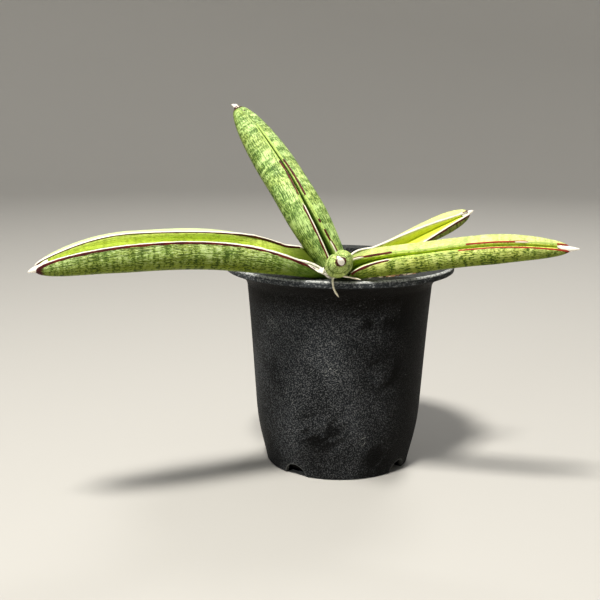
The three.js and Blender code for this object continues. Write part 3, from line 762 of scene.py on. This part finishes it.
SKINS = {
    "leaf_standing": leaf_skin(
        "skin_standing",
        [(214, 240, 160), (170, 200, 120), (140, 172, 92), (184, 200, 100), (56, 86, 36)],
        [(184, 208, 112), (84, 116, 34), (28, 48, 8)],
        0.35, rooted=0.2,
    ),
    "leaf_short": leaf_skin(
        "skin_short",
        [(230, 234, 158), (208, 216, 126), (164, 180, 84), (208, 206, 92), (84, 104, 30)],
        [(234, 242, 128), (224, 236, 72), (192, 206, 24)],
        0.75, far_side_light=0.75,
    ),
    "leaf_forward": leaf_skin(
        "skin_forward",
        [(238, 252, 178), (214, 238, 148), (170, 198, 104), (210, 224, 122), (70, 94, 28)],
        [(196, 220, 130), (140, 170, 70), (60, 84, 24)],
        0.45, streaky=0.8, girdle=0.25, creases=(7.0, 0.2, 1), thin=0.07, flecked=0.3,
    ),
    "leaf_left": leaf_skin(
        "skin_left",
        [(212, 228, 170), (160, 186, 96), (138, 164, 78), (164, 178, 80), (44, 66, 16)],
        [(206, 224, 106), (198, 218, 84), (122, 144, 30)],
        0.7, streaky=0.6, rooted=0.36, far_side_light=0.85, clasped=0.85,
    ),
    "leaf_right": leaf_skin(
        "skin_right",
        [(236, 244, 158), (206, 222, 126), (168, 190, 86), (206, 210, 100), (52, 78, 18)],
        [(214, 230, 110), (190, 214, 60), (56, 84, 14)],
        0.6, flecked=0.9, far_side_light=0.42,
    ),
}
for name in LEAVES:
    leaf_piece = grow_leaf(name)
    wear(leaf_piece, SKINS[name])
    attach(leaf_piece, "root")
    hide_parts(name)

# Margins and points: along both edges of each channel the skin ends in a thin horny rim, white and
# papery on top with a maroon line beside it. On some stretches it stays green and hardly shows. The
# two rims run together over the leaf's end into one hard white point.

# from, to and broad are where the rims run and how strong they are. white and maroon are the spans, as
# shares of the leaf's length, on each side. bold scales a side near the root and near the tip, and rust
# turns the maroon to rust. In point, from is where it starts on the leaf, length, lean and thick shape
# it, tall is its height against its width, ring how far the maroon goes round it, and hug, swell, bulge
# and neck are how it lies on the leaf's end.
MARGINS = {
    "leaf_standing": {
        "from": 0.1, "to": 0.86, "broad": 1.0,
        "white": {1: [(0.1, 0.41)], -1: [(0.14, 0.24)]},
        "maroon": {1: [(0.1, 0.41), (0.45, 0.64)], -1: [(0.14, 0.29), (0.32, 0.335), (0.44, 0.64)]},
        "point": {"from": 0.955, "length": 4.2, "lean": 0.5, "thick": 1.15, "ring": 0.8},
    },
    "leaf_short": {
        "from": 0.1, "to": 1.1, "broad": 1.0, "bold": {1: (0.42, 0.5)},
        "white": {1: [(0.1, 1.1)], -1: [(0.1, 1.1)]},
        "maroon": {1: [(0.95, 1.1)], -1: [(0.1, 1.1)]},
        "point": {"from": 0.94, "length": 2.4, "lean": 0.35, "thick": 0.9, "ring": 0.2},
    },
    "leaf_forward": {
        "from": 0.3, "to": 0.6, "broad": 0.8,
        "white": {1: [], -1: []},
        "maroon": {1: [], -1: []},
        "point": {
            "from": 0.955, "length": 2.2, "lean": -0.3, "thick": 1.27, "tall": 1.25, "ring": 1.0,
            "hug": 2.4, "swell": 1.7, "bulge": 0, "neck": 0.4,
        },
    },
    "leaf_left": {
        "from": 0.06, "to": 1.1, "broad": 1.1, "bold": {1: (1.2, 1), -1: (1.3, 0.5)},
        "white": {1: [(0, 1.1)], -1: [(0.16, 1.1)]},
        "maroon": {1: [(0.17, 1.1)], -1: [(0.2, 1.1)]},
        "point": {"from": 0.965, "length": 2.6, "lean": 0.3, "thick": 1.15, "ring": 0.1},
    },
    "leaf_right": {
        "from": 0.14, "to": 1.1, "broad": 1.0, "rust": 0.8, "bold": {1: (1, 0.58), -1: (1, 0.75)},
        "white": {1: [(0.1, 0.2), (0.79, 0.84)], -1: [(0.1, 0.3)]},
        "maroon": {1: [(0.1, 0.31), (0.61, 0.84), (0.95, 1.1)], -1: [(0.1, 0.3), (0.58, 1.1)]},
        "point": {"from": 0.95, "length": 3.4, "lean": 0.05, "thick": 0.95, "ring": 0.3},
    },
}
EDGE = [(-0.7, -0.34), (-0.62, 0.0), (-0.52, 0.18), (-0.3, 0.34), (-0.08, 0.42)]
EDGE += [(0.1, 0.38), (0.22, 0.2), (0.26, -0.05), (0.2, -0.34)]
STAIN = [1, 1, 0.9, 0.45, 0, 0, 0, 0, 0]
# On the left leaf's far rim the channel side is dark: partly its maroon line and partly painted shade under the
# rim.
MAROON_AND_SHADE_INSIDE = [0, 0, 0, 0, 0.2, 1, 1, 1, 1]
LINED_INSIDE = ("leaf_left", -1)
POINT_ON_LEAF, POINT_OUT = 14, 20


def within(t, spans, soft=0.008):
    """One inside the spans and nought outside, with soft ends."""
    return max([0.0] + [min(1.0, max(0.0, min(t - a, b - t) / soft + 0.5)) for a, b in spans])


def edge_strip(name, sign):
    """The horny rim along one edge of a leaf's channel."""
    leaf, trim = LEAVES[name], MARGINS[name]
    length = leaf["line"][1][-1]
    places, stain, bare, rust = [], [], [], []
    for i in range(STATIONS + 1):
        t = share_along(i)
        if not trim["from"] < t < trim["to"]:
            continue
        middle, across, facing, _ = stance(leaf, t)
        back, bed, _ = outline(leaf, t)
        outer, inner = (back[-1], bed[0]) if sign > 0 else (back[0], bed[-1])
        run_in = inner - outer
        size = min(1, np.linalg.norm(run_in) / 0.6)
        run_in /= np.linalg.norm(run_in)
        up = np.array([-run_in[1], run_in[0]])
        if up[1] < 0:
            up = -up
        heart = (outer + inner) / 2
        wave = noise.noise(Vector((t * length / 3.2, sign * 7, 0)))
        fringe = noise.noise(Vector((t * length / 0.9, sign * 7, 3)))
        horn = within(t, trim["white"][sign], 0.02)
        red = within(t, trim["maroon"][sign])
        root_bold, tip_bold = trim.get("bold", {}).get(sign, (1, 1))
        bold = root_bold + (tip_bold - root_bold) * ramp(t, 0.35, 0.55)
        shown = max(horn, 0.55 * red, 0.1) * bold
        fray = 1 + 0.4 * within(t, [(0, 0.27)], 0.05) * (name == "leaf_left")
        wide = size * (0.48 + 0.62 * shown) * (1 + 0.18 * wave) * trim["broad"]
        high = size * shown * (1.15 + 0.3 * wave + 0.22 * fringe * fray) * trim["broad"]
        heart = heart + (wing(leaf, t) if sign == leaf.get("far", -1) else 0)
        ring = [heart + a * wide * run_in + h * high * up for a, h in EDGE]
        lay = [middle + x * across + y * facing for x, y in ring]
        places.append(lay + lay[:1])
        shares = MAROON_AND_SHADE_INSIDE if (name, sign) == LINED_INSIDE else STAIN
        if sign > 0:
            shares = [max(0, share - max(0, bold - 1) * 1.1 * k) for k, share in enumerate(shares)]
        stain.append([red * max(share, 1 - horn) for share in shares + shares[:1]])
        bare.append([1 - horn] * (len(EDGE) + 1))
        rust.append([trim.get("rust", 0) * ramp(t, 0.33, 0.5)] * (len(EDGE) + 1))
    piece, i, j = roll_sheet("strip", np.array(places), (length / 10, 0.3))
    for mark, values in {"stain": stain, "bare": bare, "rust": rust}.items():
        note(piece, mark, np.array(values)[i, j])
    close_up(piece)
    return piece


def hard_point(name):
    """The hard tip, which starts on the leaf's end and runs out past it."""
    leaf, point = LEAVES[name], MARGINS[name]["point"]
    length, lean, thick, ring = point["length"], point["lean"], point["thick"], point["ring"]
    tall, neck, bulge = point.get("tall", 0.9), point.get("neck", 0), point.get("bulge", 0.25)
    end, across, facing, way = stance(leaf, 1)
    tip = end + way * length * (1 - lean**2) ** 0.5 - facing * length * lean
    knee = end + way * length * 0.5
    angles = np.linspace(0, 2 * pi, 25)
    places, stain = [], []
    for i in range(POINT_ON_LEAF + 1):
        u = i / POINT_ON_LEAF
        t = point["from"] + (1 - point["from"]) * u
        middle, side, face, _ = stance(leaf, t)
        deep = section(leaf, t)[1]
        lift = (deep - 0.2) * (1 - u ** point.get("hug", 1)) ** 0.8
        wide = 0.25 + (thick - 0.25) * u ** point.get("swell", 0.7)
        wide += bulge * sin(pi * u) * thick + neck * (1 - u)
        high = 0.2 + (thick * tall - 0.2) * u**1.3
        spot = middle + face * lift
        places.append([spot + wide * cos(a) * side + high * sin(a) * face for a in angles])
        red = [0.95 + 0.2 * ring - (1.5 - 0.5 * ring) * sin(a) - 0.9 * u * (1 - ring) for a in angles]
        red = [r + (0.6 * ring + 1.6 * neck * abs(cos(a))) * (1 - u) ** 2 for r, a in zip(red, angles)]
        stain.append(red)
    for i in range(1, POINT_OUT + 1):
        u = i / POINT_OUT
        spot = (1 - u) ** 2 * end + 2 * u * (1 - u) * knee + u * u * tip
        radius = thick * (1 - 0.74 * u**1.1)
        if u > 0.9:
            radius *= max(0.03, 1 - ((u - 0.9) / 0.1) ** 2) ** 0.5
        places.append([spot + radius * (cos(a) * across + tall * sin(a) * facing) for a in angles])
        red = [0.5 + 0.8 * ring - 4.2 * u - 0.6 * (1 - ring) * sin(a) for a in angles]
        stain.append(red)
    places, stain = np.array(places), np.clip(stain, 0, 1)
    piece, i, j = roll_sheet("point", places, (0.5, 0.5))
    note(piece, "stain", stain[i, j])
    note(piece, "bare", np.zeros(len(i)))
    note(piece, "rust", np.full(len(i), MARGINS[name].get("rust", 0)))
    close_up(piece)
    return piece


horn, tree, shader = finish_for("horny_edge")
vector = put(tree, "TexCoord").outputs["UV"]
stained, bare, rust = [value_of(tree, mark) for mark in ("stain", "bare", "rust")]
fibres = stretched(tree, vector, (3.0, 60.0, 1), Detail=3.0, Roughness=0.6)
colour = mixed(tree, spread(tree, fibres, 0.35, 0.7), srgb(252, 248, 238), srgb(228, 218, 196))
colour = mixed(tree, bare, colour, srgb(176, 202, 104))
blotches = spread(tree, stretched(tree, vector, (3.0, 6.0, 1), Detail=2.0), 0.4, 0.65, -0.1, 0.2)
rust = sums(tree, "ADD", rust, blotches, True)
rusty = mixed(tree, rust, srgb(70, 6, 10), srgb(168, 56, 32))
colour = mixed(tree, spread(tree, stained, 0.3, 0.55), colour, rusty)
tree.links.new(colour, shader.inputs["Base Color"])
settle(shader, {"Roughness": 0.55, "Specular IOR Level": 0.25})
roughen(tree, shader, fibres, 0.0002, 0.4)


def join_pieces(parts, name):
    pick(*parts)
    bpy.ops.object.join()
    bpy.context.object.name = name
    return bpy.context.object


for name in LEAVES:
    parts = [edge_strip(name, 1), edge_strip(name, -1), hard_point(name)]
    margin = join_pieces(parts, name.replace("leaf", "margin") + "_rim")
    wear(margin, horn)
    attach(margin, "root")
    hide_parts(name.replace("leaf", "margin"))

# Dry roots: two thread-thin dead roots of straw-coloured fibre, left loose where the leaves meet the
# rim. One hangs over the lip, and the other lies across the leaves' feet.
DRY_ROOTS = {
    "dry_root_hanging": {
        "path": [
            (-3.8, -42.2, 81.9), (-4.1, -44.6, 82.3), (-4.1, -46.2, 80.8),
            (-3.7, -46.7, 78.6), (-2.0, -47.2, 75.7),
        ],
        "thick": 0.36,
    },
    "dry_root_lying": {
        "path": [
            (-4, -45.6, 81.7), (-3.4, -45.9, 82.7), (-2.2, -46.1, 83.2),
            (0.2, -45.9, 82.9), (3.4, -45.1, 82.2), (6, -44.4, 81.5),
        ],
        "thick": 0.3,
    },
}


def thread(name, path, thick, thin_end=0.35, steps=60):
    """A dry, slightly knotty thread that thins towards both ends."""
    line = trace(path)
    places = []
    for i in range(steps + 1):
        u = i / steps
        spot, way = at(line, u)
        across = np.cross(way, (0, 0.3, 1))
        across /= np.linalg.norm(across)
        up = np.cross(way, across)
        knot = 1 + 0.16 * noise.noise(Vector((u * 14, thick * 50, 2)))
        ends = min(1, thin_end + (1 - thin_end) * min(u, 1 - u) * 7)
        radius = thick * knot * ends
        places.append([spot + radius * (cos(a) * across + sin(a) * up) for a in np.linspace(0, 2 * pi, 13)])
    piece, _, _ = roll_sheet(name, np.array(places), (line[1][-1] / 10, 0.2))
    close_up(piece)
    return piece


dry, tree, shader = finish_for("dry_root")
vector = put(tree, "TexCoord").outputs["UV"]
fibres = stretched(tree, vector, (8.0, 30.0, 1), Detail=4.0, Roughness=0.7)
colour = mixed(tree, spread(tree, fibres, 0.35, 0.68), srgb(255, 250, 232), srgb(224, 208, 170))
tree.links.new(colour, shader.inputs["Base Color"])
settle(shader, {"Roughness": 0.8})
roughen(tree, shader, fibres, 0.0001, 0.5)
for name, root in DRY_ROOTS.items():
    piece = thread(name + "_thread", root["path"], root["thick"])
    wear(piece, dry)
    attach(piece, "root")
    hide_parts(name)

# Frayed horn: near the foot of the left leaf its near margin has dried and come away. It lifts off
# in two thin papery strands, and small curled scraps stand up from it.
SHREDS = [
    {"side": 1, "span": (0.25, 0.09), "off": 0.5, "rise": 0.2, "arch": 0.8, "wide": 0.38},
    {"side": 1, "span": (0.2, 0.1), "off": -2.1, "rise": 0.3, "arch": 0.4, "wide": 0.34},
    {"side": 1, "span": (0.16, 0.144), "off": -1.4, "rise": 0.6, "arch": 1.3, "wide": 1.0},
    {"side": 1, "span": (0.137, 0.118), "off": 0.7, "rise": 0.8, "arch": 1.6, "wide": 0.85},
]


def shred(name, side, span, off, rise, arch, wide, steps=30):
    """A thin strand along an edge of the left leaf, off across it, risen at its end and arched."""
    leaf = LEAVES["leaf_left"]
    places = []
    for i in range(steps + 1):
        u = i / steps
        t = span[0] + (span[1] - span[0]) * u
        middle, across, facing, way = stance(leaf, t)
        back, _, _ = outline(leaf, t)
        edge = back[-1] if side > 0 else back[0]
        away = edge[0] - off * np.sign(edge[0]) * sin(pi * min(1, u * 1.2))
        lift = edge[1] + 0.25 + rise * u**1.6 + arch * sin(pi * u)
        spot = middle + away * across + lift * facing
        ragged = 1 + 0.55 * noise.noise(Vector((u * 9, wide * 30, 1)))
        half = wide * ragged * min(1, 0.25 + 5 * min(u, 1 - u))
        tilt = -0.4 + 0.9 * noise.noise(Vector((u * 3, wide * 11, 4)))
        flat = cos(tilt) * across + sin(tilt) * facing
        thin = np.cross(way, flat) * 0.09
        places.append([spot + half * cos(a) * flat + thin * sin(a) for a in np.linspace(0, 2 * pi, 11)])
    piece, _, _ = roll_sheet(name, np.array(places), (0.4, 0.2))
    for mark in ("stain", "bare", "rust"):
        note(piece, mark, np.zeros(len(piece.data.vertices)))
    close_up(piece)
    return piece


frayed = join_pieces([shred("strand", **one) for one in SHREDS], "frayed_margin")
wear(frayed, horn)
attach(frayed, "root")

# Rhizome and roots: a short fleshy stem with knuckles creeps back from the crown, and thick wrinkled
# roots run down from it through the mix. Only its crown shows, between the feet of the leaves.
cad_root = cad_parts["rhizome_with_roots"]
rhizome = bpy.data.objects.new("rhizome", cad_root.data.copy())
bpy.context.scene.collection.objects.link(rhizome)
pick(rhizome)
bpy.ops.object.mode_set(mode="EDIT")
bpy.ops.mesh.select_all(action="SELECT")
bpy.ops.mesh.remove_doubles(threshold=1e-6)
bpy.ops.object.mode_set(mode="OBJECT")
finer = rhizome.modifiers.new("skin", "REMESH")
finer.mode = "VOXEL"
finer.voxel_size = 0.45 * MM
bpy.ops.object.modifier_apply(modifier="skin")
smoother = rhizome.modifiers.new("soften", "SMOOTH")
smoother.iterations = 4
bpy.ops.object.modifier_apply(modifier="soften")
bpy.ops.object.shade_smooth()

root_bark, tree, shader = finish_for("root_bark")
place = put(tree, "TexCoord").outputs["Object"]
wrinkle = use(tree, patches, {"Vector": place, "Scale": 420.0, "Low": 0.4, "High": 0.62}).outputs[0]
soil = use(tree, patches, {"Vector": place, "Scale": 130.0, "Low": 0.5, "High": 0.62}).outputs[0]
colour = mixed(tree, wrinkle, srgb(222, 178, 120), srgb(178, 128, 78))
colour = mixed(tree, times(tree, soil, 0.7), colour, srgb(92, 66, 44))
tree.links.new(colour, shader.inputs["Base Color"])
settle(shader, {"Roughness": 0.72})
roughen(tree, shader, wrinkle, 0.0003, 0.5)
wear(rhizome, root_bark)
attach(rhizome, "root")
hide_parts("rhizome_with_roots")

# Potting mix: a gritty succulent mix of baked clay, pumice and black lava. Fines fill the pot, and
# loose grains of about two to four millimetres cover them.
MIX_TOP = 72.4
MIX_FOOT = (26.1, 1.9)
MIX_REACH = 34.3
CROWN = (1.5, -30.5)
CROWN_ROOM = 5.2
THROWS = 9000
THROW_REACH = 33.4
GRAIN_LEAST, GRAIN_SPAN = 0.75, 1.15
CLOSENESS = 0.66

deselect()
bpy.ops.mesh.primitive_circle_add(
    vertices=96, radius=MIX_FOOT[0] * MM, location=(0, 0, MIX_FOOT[1] * MM), fill_type="TRIFAN"
)
fines = bpy.context.object
fines.name = "mix_fines"
bpy.ops.object.transform_apply(location=True)
bpy.ops.object.mode_set(mode="EDIT")
pick_open_edges()
plug = bend(MIX_FOOT, (28.6, 10.4), (30.5, 15), (31.3, 24), 8)
plug += bend(plug[-1], (32.4, 40), (33.6, 58), (34.6, MIX_TOP), 6)
draw_up(MIX_FOOT, plug + [(r, MIX_TOP) for r in np.arange(33.2, 1.5, -1.6)])
for v in fines.data.vertices:
    if v.co.z > (MIX_TOP - 0.1) * MM and v.co.xy.length < 34 * MM:
        v.co.z += 0.9 * MM * noise.noise(v.co * 260) + 0.5 * MM * noise.noise(v.co * 700)
bpy.ops.object.shade_smooth_by_angle(angle=radians(60))

dice = np.random.default_rng(7)
deselect()
bpy.ops.mesh.primitive_ico_sphere_add(subdivisions=2, radius=1)
pebble = bpy.context.object
heap = bmesh.new()
tone = heap.verts.layers.float.new("tone")
kind = heap.verts.layers.float.new("kind")
base = [v.co.copy() for v in pebble.data.vertices]
faces = [tuple(p.vertices) for p in pebble.data.polygons]
bpy.data.objects.remove(pebble)
laid = []
for attempt in range(THROWS):
    spin, out = dice.random() * 2 * pi, THROW_REACH * dice.random() ** 0.5
    size = GRAIN_LEAST + GRAIN_SPAN * dice.random() ** 1.6
    x, y = out * cos(spin), out * sin(spin)
    level = dice.random()
    if out + size * 0.8 > MIX_REACH or np.hypot(x - CROWN[0], y - CROWN[1]) < CROWN_ROOM:
        continue
    if any(np.hypot(x - a, y - b) < CLOSENESS * (size + c) for a, b, c in laid):
        continue
    laid.append((x, y, size))
    turn = Matrix.Rotation(dice.random() * 2 * pi, 3, "Z") @ Matrix.Rotation(dice.random() * 2 * pi, 3, "X")
    squash = Vector((1.0, 0.72 + 0.25 * dice.random(), 0.6 + 0.3 * dice.random()))
    seed = Vector((attempt * 1.7, 3.1, 0.4))
    shade, sort = dice.random(), dice.random()
    middle = Vector((x, y, MIX_TOP + 0.35 * size + 0.9 * level))
    verts = []
    for spot in base:
        lump = 1 + 0.34 * noise.noise(spot * 1.1 + seed) + 0.14 * noise.noise(spot * 2.9 + seed)
        shaped = turn @ Vector((spot.x * squash.x, spot.y * squash.y, spot.z * squash.z)) * size * lump
        vert = heap.verts.new((middle + shaped) * MM)
        vert[tone] = shade
        vert[kind] = sort
        verts.append(vert)
    for face in faces:
        heap.faces.new([verts[k] for k in face])
grit_mesh = bpy.data.meshes.new("mix_grains")
heap.to_mesh(grit_mesh)
heap.free()
grit = bpy.data.objects.new("mix_grains", grit_mesh)
bpy.context.scene.collection.objects.link(grit)
pick(grit)
bpy.ops.object.shade_smooth_by_angle(angle=radians(32))

gritty, tree, shader = finish_for("gritty_mix")
place = put(tree, "TexCoord").outputs["Object"]
tooth = use(tree, grain, {"Vector": place, "Scale": 2200.0})
tone_of, kind_of = value_of(tree, "tone"), value_of(tree, "kind")
clay = mixed(tree, tone_of, srgb(128, 98, 68), srgb(96, 72, 50))
pumice = mixed(tree, tone_of, srgb(172, 166, 150), srgb(134, 126, 110))
lava = mixed(tree, tone_of, srgb(54, 48, 45), srgb(34, 31, 30))
dusting = use(tree, patches, {"Vector": place, "Scale": 300.0, "Low": 0.45, "High": 0.7}).outputs[0]
low_mm = times(tree, put(tree, "SeparateXYZ", {0: place}).outputs[2], 1000.0)
colour = coat(
    tree,
    mixed(tree, spread(tree, kind_of, 0.44, 0.46), clay, pumice),
    (spread(tree, kind_of, 0.74, 0.76), lava),
    (times(tree, dusting, 0.45), srgb(128, 102, 76)),
    (times(tree, tooth.outputs[1], 0.3), srgb(60, 46, 36)),
    # Painted shade: the mix goes nearly black towards the pot's floor, where it lies in shade behind the drain
    # notches.
    (spread(tree, low_mm, 14.0, 7.0), srgb(7, 6, 5)),
)
tree.links.new(colour, shader.inputs["Base Color"])
settle(shader, {"Roughness": 0.92, "Specular IOR Level": 0.1})
roughen(tree, shader, tooth.outputs[0], 0.0003, 0.7)
for piece in (fines, grit):
    wear(piece, gritty)
    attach(piece, "root")
    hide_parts("potting_mix")
